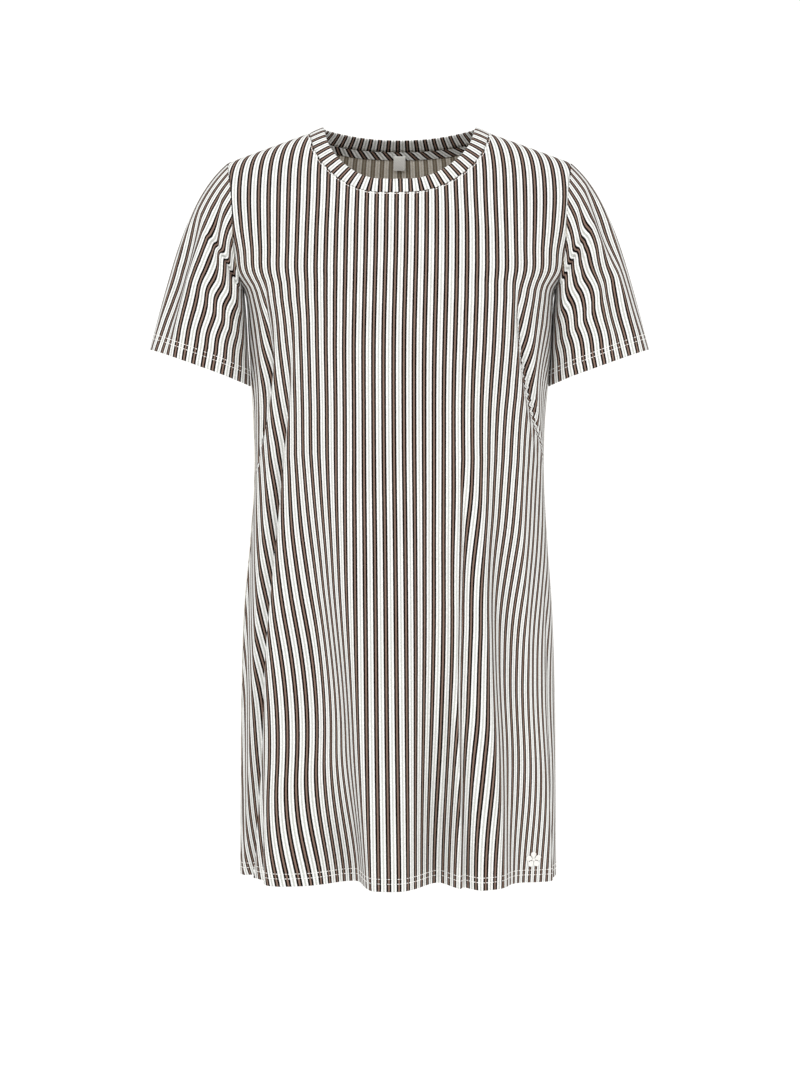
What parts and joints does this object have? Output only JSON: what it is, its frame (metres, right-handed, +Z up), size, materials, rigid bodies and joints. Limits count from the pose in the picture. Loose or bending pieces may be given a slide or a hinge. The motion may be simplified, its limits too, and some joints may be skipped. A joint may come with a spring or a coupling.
{
  "type": "nightshirt",
  "caption": "Straight short-sleeved crew-neck nightshirt in striped jersey, filled out as if worn, open at neck, cuffs and hem.",
  "frame": {"origin": "midway between the two ends of the neck seam, level with the top of the neckband, where the garment rests on the wearer's shoulders", "axes": "+Z up along the garment's length, -Y out of the front, +X to the right seen from in front"},
  "size_m": [0.574, 0.2425, 0.8593],
  "materials": {
    "jersey": "matt single jersey with lengthwise stripes in taupe and white with a dark edge and a pale grey line",
    "neckband_jersey": "the same jersey, folded double, stripes across the band",
    "tape_jersey": "the same jersey cut on the bias, stripes slanted",
    "tab_cloth": "plain white woven tab"
  },
  "bodies": {
    "root": {"front": "jersey", "back": "jersey", "sleeve_left": "jersey", "sleeve_right": "jersey", "neckband": "neckband_jersey", "neck_tape": "tape_jersey", "neck_tab": "tab_cloth"}
  },
  "joints": []
}
